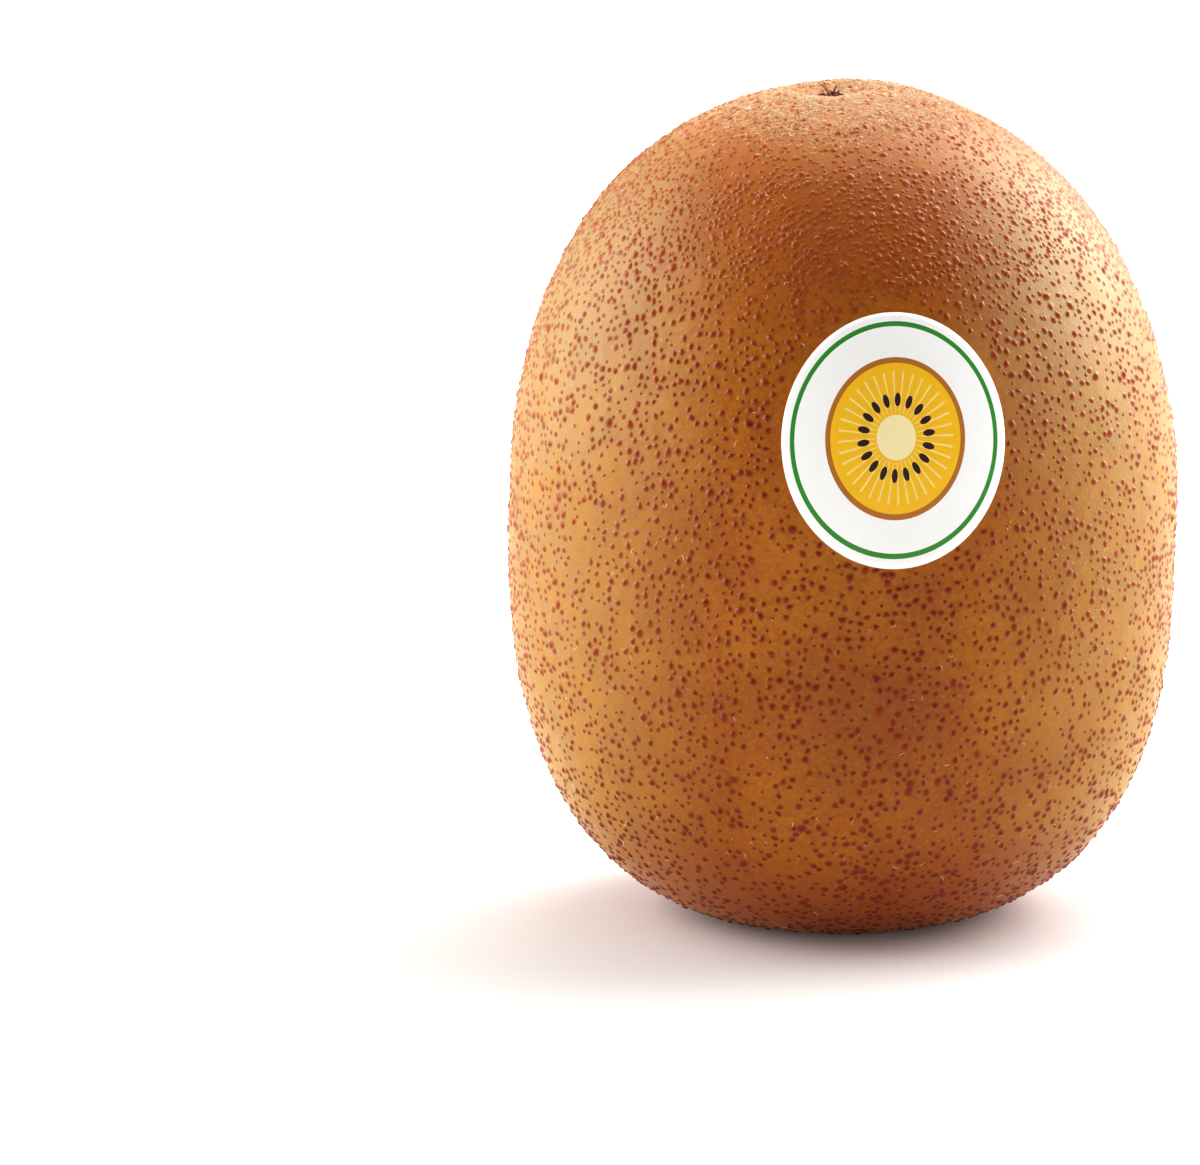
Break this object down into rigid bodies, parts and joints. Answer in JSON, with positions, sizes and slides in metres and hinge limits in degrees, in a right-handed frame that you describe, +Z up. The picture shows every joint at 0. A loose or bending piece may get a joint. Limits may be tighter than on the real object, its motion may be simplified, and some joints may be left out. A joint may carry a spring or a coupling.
{
  "type": "golden kiwi fruit",
  "caption": "Whole oval kiwi fruit with golden-brown warty skin, standing on its stem end, with a dried blossom nub on top and a plain oval paper label on its front.",
  "frame": {"origin": "middle of the flat spot that the fruit rests on", "axes": "+Z up along the fruit from its stem end to its blossom end, -Y towards the front, where the label is, +X to the viewer's right"},
  "size_m": [0.056, 0.0542, 0.0695],
  "materials": {
    "skin": "thin golden-brown skin with a soft sheen, covered in small red-brown warts",
    "label": "smooth coated paper, white with a plain printed motif"
  },
  "bodies": {
    "root": {"fruit": "skin", "label": "label"}
  },
  "joints": []
}
